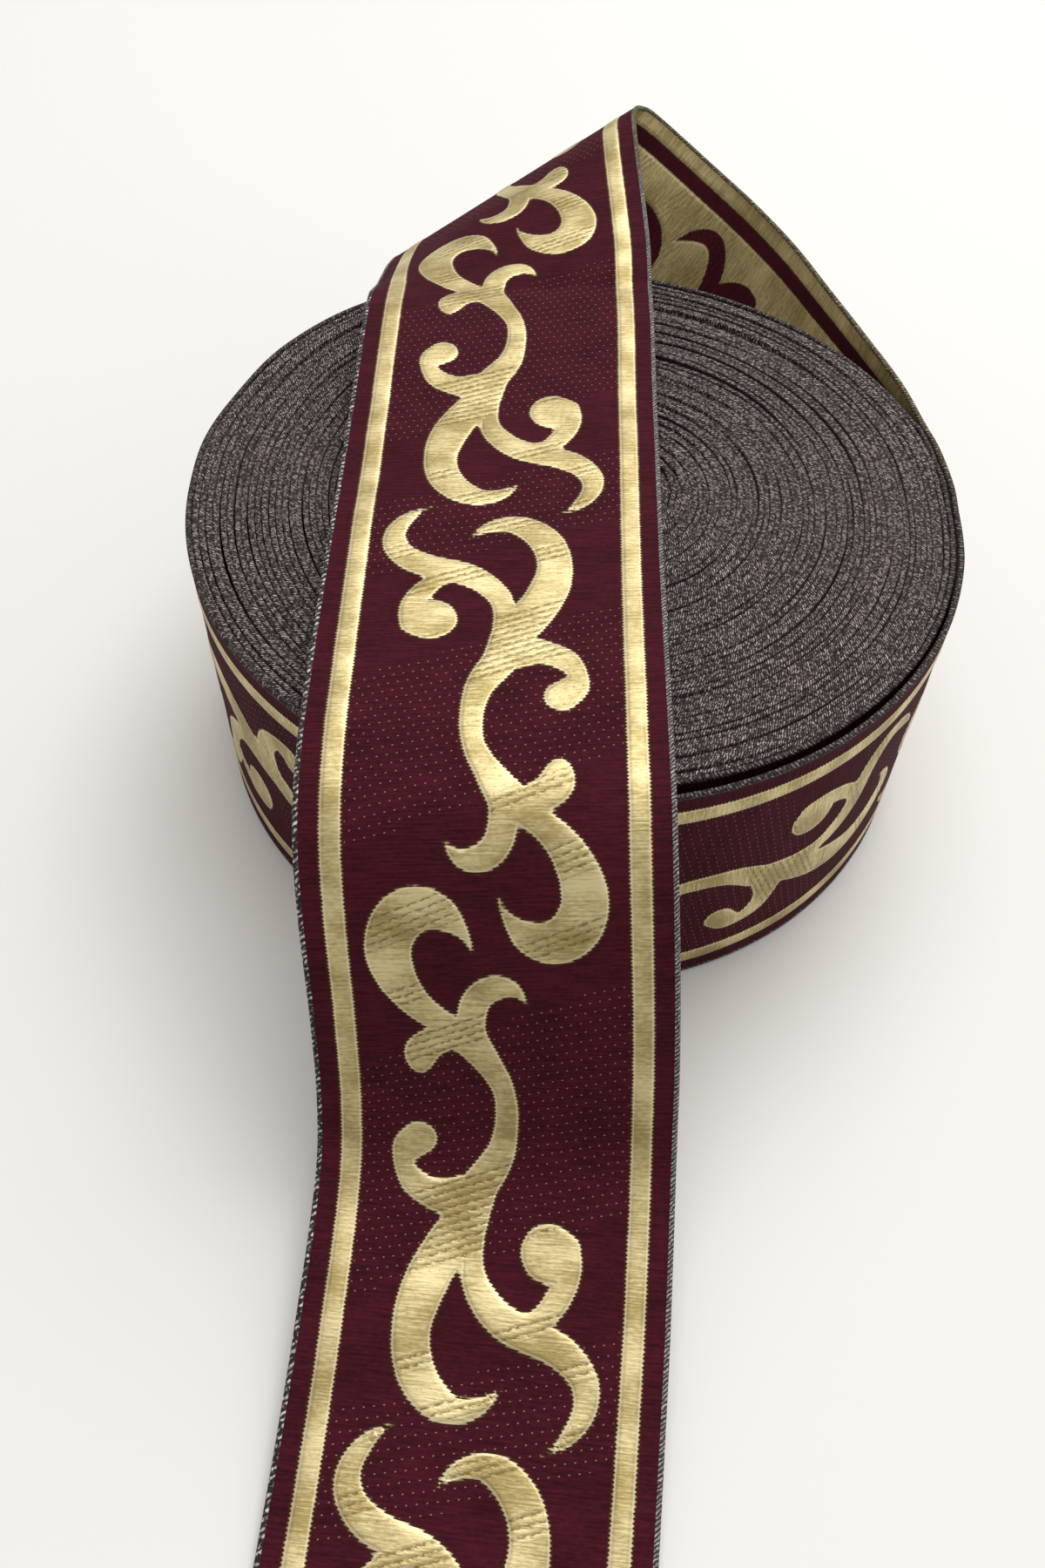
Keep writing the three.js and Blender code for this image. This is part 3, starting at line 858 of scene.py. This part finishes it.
# %% The woven face and its reverse
def woven_material(name, reverse):
    """Burgundy and gold jacquard; on the reverse the two are exchanged."""
    material = new_material(name)
    tree = material.node_tree
    add = partial(add_node, tree)
    cloth = add(ATTRIBUTE, attribute_name="cloth_mm", give="Vector")
    s = add(SEPARATE, cloth, give=0)
    v = add(SEPARATE, cloth, give=1)
    gold, depth, rib = gold_threads(tree, s, v)
    shown = {mark: strengths[int(reverse)] for mark, strengths in MARKS.items()}
    if reverse:
        gold = add(MATH, "SUBTRACT", 1.0, gold)
        depth = add(MATH, "MULTIPLY", depth, -1.0)

    # Streaks run with the weft, across the ribbon. Broad patches come from uneven tension on the ground; on
    # the gold they are painted sheen, dim and bright patches in the colour that stand in for the satin's
    # shine.
    noises = []
    for per_millimetre, detail in (((3.0, 0.2, 1.0), 2.0), ((2.6, 1.1, 1.0), 1.0), ((0.14, 0.1, 1.0), 1.0)):
        place = add(VECTOR_MATH, "MULTIPLY", cloth, per_millimetre)
        noises.append(add(NOISE, named={"Vector": place, "Scale": 1.0, "Detail": detail}))
    streak, fine, tone_and_sheen_patches = noises
    texture = add(MATH, "MULTIPLY_ADD", streak, 1.3, add(MATH, "MULTIPLY_ADD", fine, 0.7, -0.9))
    contrast = 1.0 if reverse else 1.9
    level = add(MATH, "SUBTRACT", texture, contrast * 0.5 - 0.35)
    satin = add(MATH, "MULTIPLY_ADD", tone_and_sheen_patches, contrast, level)
    # Painted sheen: the streaks and the broad patches move the gold between its dim and bright colours.
    streaks_and_painted_sheen = add(MAP_RANGE, satin, 0.0, 1.0, **SMOOTH)
    plain = add(MATH, "MULTIPLY_ADD", tone_and_sheen_patches, 0.5, add(MATH, "ADD", texture, 0.15))
    lightness = add(MAP_RANGE, plain, 0.0, 1.0, **SMOOTH)

    # Where in the repeat: two ramps say which bands are bound with dots or with dashes.
    slanting = add(MATH, "MULTIPLY_ADD", v, BAND_SLOPE, s)
    in_repeat = add(MATH, "FRACT", add(MATH, "DIVIDE", slanting, FIGURE_REPEAT))
    dot_bands = add("ShaderNodeValToRGB", in_repeat)
    paint_bands(dot_bands, GROUND_DOT_BANDS, FIGURE_REPEAT)
    dash_bands = add("ShaderNodeValToRGB", in_repeat)
    paint_bands(dash_bands, GOLD_DASH_BANDS, FIGURE_REPEAT)

    # Dark dashes bind the long floats in slanting rows, and pull shallow furrows into the satin. The furrows
    # are darkened with painted shade, and the dashes, real binding points, are drawn in the same shade
    # colour.
    uneven_rows = add(MATH, "MULTIPLY_ADD", fine, 0.7, slanting)
    rows = add(MATH, "DIVIDE", uneven_rows, DASH_ROWS)
    row = add(MATH, "FLOOR", rows)
    in_row = add(MATH, "SUBTRACT", add(MATH, "FRACT", rows), 0.5)
    off_row = add(MATH, "ABSOLUTE", in_row)
    shifted = add(MATH, "MULTIPLY_ADD", row, 0.43, add(MATH, "DIVIDE", v, DASH_REPEAT))
    in_dash = add(MATH, "SUBTRACT", add(MATH, "FRACT", shifted), 0.5)
    long_enough = add(MAP_RANGE, add(MATH, "ABSOLUTE", in_dash), 0.4, 0.3)
    thin = add(MAP_RANGE, off_row, 0.16, 0.05, **SMOOTH)
    furrow = add(MAP_RANGE, off_row, 0.42, 0.05, **SMOOTH)
    from_middle = add(MATH, "ABSOLUTE", v)
    inner = add(MATH, "LESS_THAN", from_middle, STRIPE_CENTRE - STRIPE_HALF - 0.4)
    bound = add(MATH, "MULTIPLY", dash_bands, inner)
    dash = add(MATH, "MULTIPLY", add(MATH, "MULTIPLY", long_enough, thin), bound)
    furrow = add(MATH, "MULTIPLY", furrow, bound)
    furrow_shade = add(MATH, "MULTIPLY", furrow, shown["furrow"])
    dash_shade = add(MATH, "MULTIPLY", dash, shown["dash"])

    # The ends of the floats catch the light: a painted highlight just inside the figure's outline.
    off_end = add(MATH, "ABSOLUTE", add(MATH, "SUBTRACT", depth, 0.2))
    end_highlight = add(MAP_RANGE, off_end, 0.22, 0.02, 0.0, shown["float end highlight"])
    satin_colour = add(MIX, named={0: streaks_and_painted_sheen, 6: linear(GOLD_SHEEN_DEEP), 7: linear(GOLD_SHEEN_LIGHT)}, **COLOURS)
    # Painted shade in the furrows and at the dashes, then a painted highlight at the float ends.
    for share, tone in ((furrow_shade, GOLD_BOUND_SHADE), (dash_shade, GOLD_BOUND_SHADE), (end_highlight, GOLD_END_HIGHLIGHT)):
        satin_colour = add(MIX, named={0: share, 6: satin_colour, 7: linear(tone)}, **COLOURS)

    # Light dots tie the ground in staggered rows.
    dot_rows = add(MATH, "DIVIDE", add(MATH, "MULTIPLY_ADD", v, DOT_SLOPE, s), DOT_ROWS)
    dot_row = add(MATH, "FLOOR", dot_rows)
    dot_shift = add(MATH, "MULTIPLY_ADD", dot_row, 0.5, add(MATH, "DIVIDE", v, DOT_REPEAT))
    dot_u = add(MATH, "SUBTRACT", add(MATH, "FRACT", dot_shift), 0.5)
    dot_w = add(MATH, "SUBTRACT", add(MATH, "FRACT", dot_rows), 0.5)
    dot_place = add(VECTOR_MATH, "MULTIPLY", add(COMBINE, dot_u, dot_w), (1.3, 1.9, 1.0))
    from_dot = add(VECTOR_MATH, "LENGTH", dot_place, give="Value")
    dot = add(MAP_RANGE, from_dot, 0.17, 0.08, **SMOOTH)
    dot = add(MATH, "MULTIPLY", add(MATH, "MULTIPLY", dot, dot_bands), inner)
    ground = add(MIX, named={0: lightness, 6: linear(BURGUNDY_DEEP), 7: linear(BURGUNDY_LIGHT)}, **COLOURS)
    dotted = add(MATH, "MULTIPLY", dot, shown["dot"])
    ground = add(MIX, named={0: dotted, 6: ground, 7: linear(GROUND_DOT)}, **COLOURS)

    # A dark line lies where the floats dive under the ground: painted shade along the edge of the raised
    # figure.
    colour = add(MIX, named={0: gold, 6: ground, 7: satin_colour}, **COLOURS)
    off_edge = add(MATH, "ABSOLUTE", add(MATH, "ADD", depth, 0.16))
    edge_shade = add(MAP_RANGE, off_edge, 0.3, 0.0, 0.0, 0.55, **SMOOTH)
    colour = add(MIX, named={0: edge_shade, 6: colour, 7: linear(FIGURE_EDGE_SHADE)}, **COLOURS)

    # Hardly any light gets into the narrow gap behind the loose turn, so its cloth is kept deeper in colour.
    lit = add(MAP_RANGE, s, *GAP_OPENS, 0.4, 1.0)
    colour = add(VECTOR_MATH, "MULTIPLY", colour, lit)

    # Relief: rounded floats that stand a little proud, ribs of the picks, furrows and dots.
    cushion = add(MAP_RANGE, depth, -0.25, 0.75, **SMOOTH)
    sunk = add(MATH, "MULTIPLY", furrow, gold)
    height = add(MATH, "MULTIPLY", rib, add(MATH, "MULTIPLY_ADD", gold, -0.05, 0.05))
    for form, rise in ((cushion, 0.18), (texture, 0.05), (sunk, -0.07), (dot, 0.05)):
        height = add(MATH, "MULTIPLY_ADD", form, rise, height)
    metres = add(MATH, "MULTIPLY", height, MM)
    normal = add("ShaderNodeBump", named={"Height": metres, "Distance": 1.0, "Strength": 0.8})
    roughness = add(MATH, "MULTIPLY_ADD", gold, -0.44, 0.88)
    metallic = add(MATH, "MULTIPLY", gold, 0.5)
    surface = add(
        "ShaderNodeBsdfPrincipled",
        named={
            "Base Color": colour,
            "Roughness": roughness,
            "Metallic": metallic,
            "Normal": normal,
            "Specular IOR Level": 0.12,
        },
    )
    add("ShaderNodeOutputMaterial", surface)
    print(name, "material:", len(tree.nodes), "nodes")
    return material


# Polyester jacquard: the gold floats shine softly along the weft, like satin; the ribbed ground stays matt.
woven_face = woven_material("jacquard_face", reverse=False)
woven_reverse = woven_material("jacquard_reverse", reverse=True)


# %% The selvedges
def cord_colour(tree, along, across, pitch, light, mid, dark):
    """Twisted thread: slanting light and dark flecks, uneven in place and strength, with their relief.

    The two noises count lumps in a metre, so the flecks wander every 0.9 mm and change strength every 0.5 mm.
    """
    add = partial(add_node, tree)
    place = add("ShaderNodeTexCoord", give="Object")
    wander = add(NOISE, named={"Vector": place, "Scale": 1100.0, "Detail": 1.0})
    slanted = add(MATH, "MULTIPLY_ADD", across, 0.8, along)
    shifted = add(MATH, "MULTIPLY_ADD", wander, 0.8, slanted)
    wave = add(MATH, "PINGPONG", add(MATH, "DIVIDE", shifted, pitch), 0.5)
    fleck = add(MAP_RANGE, wave, 0.1, 0.42, **SMOOTH)
    patch = add(NOISE, named={"Vector": place, "Scale": 2000.0, "Detail": 2.0})
    strength = add(MAP_RANGE, patch, 0.44, 0.66)
    brightness = add(MATH, "MULTIPLY", fleck, strength)
    shaded = add(MIX, named={0: fleck, 6: dark, 7: mid}, **COLOURS)
    colour = add(MIX, named={0: brightness, 6: shaded, 7: light}, **COLOURS)
    relief = add(MATH, "MULTIPLY", fleck, 0.1 * MM)
    normal = add("ShaderNodeBump", named={"Height": relief, "Distance": 1.0, "Strength": 0.9})
    return colour, normal


def cord_surface(tree, colour, normal, roughness):
    shader = add_node(
        tree,
        "ShaderNodeBsdfPrincipled",
        named={"Base Color": colour, "Roughness": roughness, "Normal": normal, "Specular IOR Level": 0.3},
    )
    add_node(tree, "ShaderNodeOutputMaterial", shader)


# Polyester cord along both edges: grey on the right one, white and black by turns on the left one. In the
# band behind the roll both are olive gold, and in the loose turn they are as dark as on the roll. The left
# cord's white ticks are 0.65 mm apart on such a trim; they are drawn 0.95 mm apart, so that they show.
LEFT_TICKS = 0.95
RIGHT_TWIST = 0.6
selvedge_cord = new_material("selvedge_cord")
add = partial(add_node, selvedge_cord.node_tree)
cloth = add(ATTRIBUTE, attribute_name="cloth_mm", give="Vector")
along = add(SEPARATE, cloth)
side = add(SEPARATE, cloth, give=1)
on_right = add(MATH, "GREATER_THAN", side, 0.0)
in_band = add(MAP_RANGE, along, *BAND_BEGINS)
on_run = add(MAP_RANGE, along, *RUN_BEGINS)


def by_place(on_left, on_run_right, on_band, in_loose_turn):
    """The colour of the cord by where it runs."""
    run_colour = add(MIX, named={0: on_right, 6: on_left, 7: on_run_right}, **COLOURS)
    early = add(MIX, named={0: in_band, 6: in_loose_turn, 7: on_band}, **COLOURS)
    return add(MIX, named={0: on_run, 6: early, 7: run_colour}, **COLOURS)


light = by_place(linear(LEFT_LIGHT), linear(SELVEDGE_LIGHT), linear(BAND_LIGHT), linear(LOOSE_LIGHT))
mid = by_place(linear(LEFT_DARK), linear(SELVEDGE_MID), linear(BAND_MID), linear(WOUND_SHADE))
dark = by_place(linear(LEFT_DARK), linear(SELVEDGE_DARK), linear(SELVEDGE_DARK), linear(WOUND_SHADE))
pitch = add(MATH, "MULTIPLY_ADD", on_right, RIGHT_TWIST - LEFT_TICKS, LEFT_TICKS)
colour, normal = cord_colour(selvedge_cord.node_tree, along, side, pitch, light, mid, dark)
cord_surface(selvedge_cord.node_tree, colour, normal, 0.65)

# On the roll the same cord shows at the top of each turn; further down a turn is burgundy cloth in the shade.
WOUND_TWIST = 0.45
wound_edges = new_material("wound_selvedges")
add = partial(add_node, wound_edges.node_tree)
along, across, turn_number = (
    add(ATTRIBUTE, attribute_name=name, give="Fac") for name in ("along_mm", "across_mm", "turn_number")
)
place = add("ShaderNodeTexCoord", give="Object")
tones = [linear(tone) for tone in (WOUND_LIGHT, WOUND_MID, WOUND_SHADE)]
colour, normal = cord_colour(wound_edges.node_tree, along, across, WOUND_TWIST, *tones)

# Grooves part the turns where they lie loose: here and there, and more of them on the right. Their dark is
# painted shade along the edges of the turns.
off_middle = add(MATH, "ABSOLUTE", across)
spot = add(VECTOR_MATH, "MULTIPLY", place, (25.0, 25.0, 0.0))
in_turns = add(COMBINE, 0.0, 0.0, add(MATH, "MULTIPLY", turn_number, 0.85))
looseness = add(NOISE, named={"Vector": add(VECTOR_MATH, spot, in_turns), "Scale": 1.0, "Detail": 2.0})
looseness = add(MATH, "MULTIPLY_ADD", add(SEPARATE, place, give=0), 2.2, looseness)
deepest = add(MAP_RANGE, looseness, 0.46, 0.66, 0.0, 0.9)
groove_shade = add(MAP_RANGE, off_middle, 0.26, 0.42, 0.0, deepest)
colour = add(MIX, named={0: groove_shade, 6: colour, 7: linear(WOUND_SHADE)}, **COLOURS)
height = add(SEPARATE, place, give=2)
at_top = add(MAP_RANGE, height, *(edge * MM for edge in CORD_HEIGHTS))
colour = add(MIX, named={0: at_top, 6: linear(WOUND_SHADE), 7: colour}, **COLOURS)
cord_surface(wound_edges.node_tree, colour, normal, 0.8)
print("cord materials:", selvedge_cord.name, wound_edges.name)

for material in (woven_face, woven_reverse, selvedge_cord):
    loose_mesh.materials.append(material)

# %% [markdown]
# ## Winding the roll
# The node tree gets its sizes through the modifier. Its result becomes a plain mesh, and the outermost turn
# of the wound part is added from the same section as the loose end, because its patterned face shows below
# the rim on the left.

# %% Make the spiral
carrier = bpy.data.objects.new("spiral_carrier", bpy.data.meshes.new("spiral_carrier"))
put_in_scene(carrier)
tree = spiral_tree()
modifier = carrier.modifiers.new("winding", "NODES")
modifier.node_group = tree
for item in tree.interface.items_tree:
    if item.item_type == "SOCKET" and item.in_out == "INPUT":
        if item.name == "Seed":
            modifier[item.identifier] = 4
        elif item.name == "Material":
            modifier[item.identifier] = wound_edges
        else:
            modifier[item.identifier] = item.default_value
bpy.context.view_layer.update()
evaluated = carrier.evaluated_get(bpy.context.evaluated_depsgraph_get())
spiral_mesh = bpy.data.meshes.new_from_object(evaluated)
spiral_mesh.name = "wound_spiral"
bpy.data.objects.remove(carrier)
lows = np.array([v.co for v in spiral_mesh.vertices]).min(0)
highs = np.array([v.co for v in spiral_mesh.vertices]).max(0)
print("spiral:", len(spiral_mesh.polygons), "faces", lows.round(4), highs.round(4))


# %% The outermost wound turn
RIM_INSET = 0.42
INSET_BEHIND_LOOSE_TURN = 0.62


def wound_radius(azimuth):
    """Middle of the outermost wound turn: behind the loose turn where there is one, else at the rim."""
    on_loose = azimuth if azimuth >= first_azimuth else azimuth + 360
    if on_loose <= last_azimuth:
        gap = eased(LOOSE_TURN, 3, on_loose)
        return eased(LOOSE_TURN, 2, on_loose) - gap - INSET_BEHIND_LOOSE_TURN
    return eased(WOUND_RIM, 2, azimuth) - RIM_INSET


OUTER_STEP = 1.15
azimuths = np.arange(first_azimuth - 360 + 1, first_azimuth - 0.3, OUTER_STEP)
radii = np.array([wound_radius(azimuth) for azimuth in azimuths])
directions = np.radians(azimuths)
outer_line = np.stack([radii * np.cos(directions), radii * np.sin(directions), np.zeros_like(radii)], axis=1)
outer_flat = length_along(outer_line)
outer_flat += cloth_start - outer_flat[-1]
outer_mesh = cloth_mesh(
    "outer_turn",
    outer_line + (0, 0, 49.95),
    outer_line + (0, 0, 0.05),
    outer_flat,
    outer_flat,
    section_loop(FACE_PARTS - 8, 2),
    creased=False,
)
for material in (woven_face, woven_reverse, selvedge_cord):
    outer_mesh.materials.append(material)

# %% Join them
wound_ribbon = bpy.data.objects.new("wound_ribbon", outer_mesh)
spiral = bpy.data.objects.new("wound_spiral", spiral_mesh)
for piece in (wound_ribbon, spiral):
    put_in_scene(piece)
with bpy.context.temp_override(
    active_object=wound_ribbon, object=wound_ribbon, selected_editable_objects=[wound_ribbon, spiral]
):
    bpy.ops.object.join()
wound_ribbon.data.name = "wound_ribbon"
print("wound ribbon:", len(wound_ribbon.data.polygons), "faces")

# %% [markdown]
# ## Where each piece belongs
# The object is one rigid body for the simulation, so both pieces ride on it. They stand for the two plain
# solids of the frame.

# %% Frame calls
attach(wound_ribbon, "root")
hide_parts("roll")
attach(loose_ribbon, "root")
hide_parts("loose_end")

# %% [markdown]
# ## Table and light
# The photograph has a pale, almost white table and the light of a bright room from above and behind, which
# leaves only soft shadows round the roll and makes the front of the fall darker than its top. Two large lamps
# and the room's own light give that, with a weak fill from the front right. One hard lamp would be simpler,
# but its shadows would have edges that the photograph doesn't have.

# %% Floor, lights and world
TABLE_COLOUR = "#e2e1de"
ROOM_COLOUR = "#f4f2ee"
ROOM_STRENGTH = 0.52

floor_mesh = bpy.data.meshes.new("table_top")
reach = 3.0
floor_mesh.from_pydata(
    [(-reach, -reach, 0), (reach, -reach, 0), (reach, reach, 0), (-reach, reach, 0)], [], [(0, 1, 2, 3)]
)
table_top = bpy.data.objects.new("table_top", floor_mesh)
put_in_scene(table_top)
# Painted board: pale and matt, so that it takes soft shadows and hardly mirrors the roll.
table_finish = new_material("pale_table")
table_surface = add_node(
    table_finish.node_tree,
    "ShaderNodeBsdfPrincipled",
    named={"Base Color": linear(TABLE_COLOUR), "Roughness": 0.6, "Specular IOR Level": 0.3},
)
add_node(table_finish.node_tree, "ShaderNodeOutputMaterial", table_surface)
floor_mesh.materials.append(table_finish)
table_top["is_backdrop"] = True


def soft_light(name, place, size, power, target=(0.0, 0.0, 0.03)):
    data = bpy.data.lights.new(name, "AREA")
    data.shape = "DISK"
    data.size = size
    data.energy = power
    light = bpy.data.objects.new(name, data)
    light.location = place
    light.rotation_euler = (Vector(target) - Vector(place)).to_track_quat("-Z", "Y").to_euler()
    put_in_scene(light)


soft_light("ceiling_light", (0.15, 0.35, 1.5), 1.5, 16.0)
soft_light("window_light", (0.6, 1.1, 1.35), 1.3, 11.0)
soft_light("fill_light", (1.3, -0.6, 0.7), 1.0, 2.5)
world = bpy.data.worlds.new("room")
world.use_nodes = True
background = world.node_tree.nodes["Background"]
background.inputs["Color"].default_value = linear(ROOM_COLOUR)
background.inputs["Strength"].default_value = ROOM_STRENGTH
bpy.context.scene.world = world
bpy.context.scene.view_settings.view_transform = "Standard"

# %% [markdown]
# ## Sizes
# The cloth may stand a few millimetres proud of the plain solids, and no more. Both boxes are printed, so
# that they can be compared.

# %% Sizes of both boxes
visual_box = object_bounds()
boxes = {
    "cad": [list(corner) for corner in cad_box],
    "visual": [list(corner) for corner in visual_box],
}
for name, (low, high) in boxes.items():
    print(name, "box in mm:", [round((h - l) / MM, 1) for l, h in zip(low, high)])
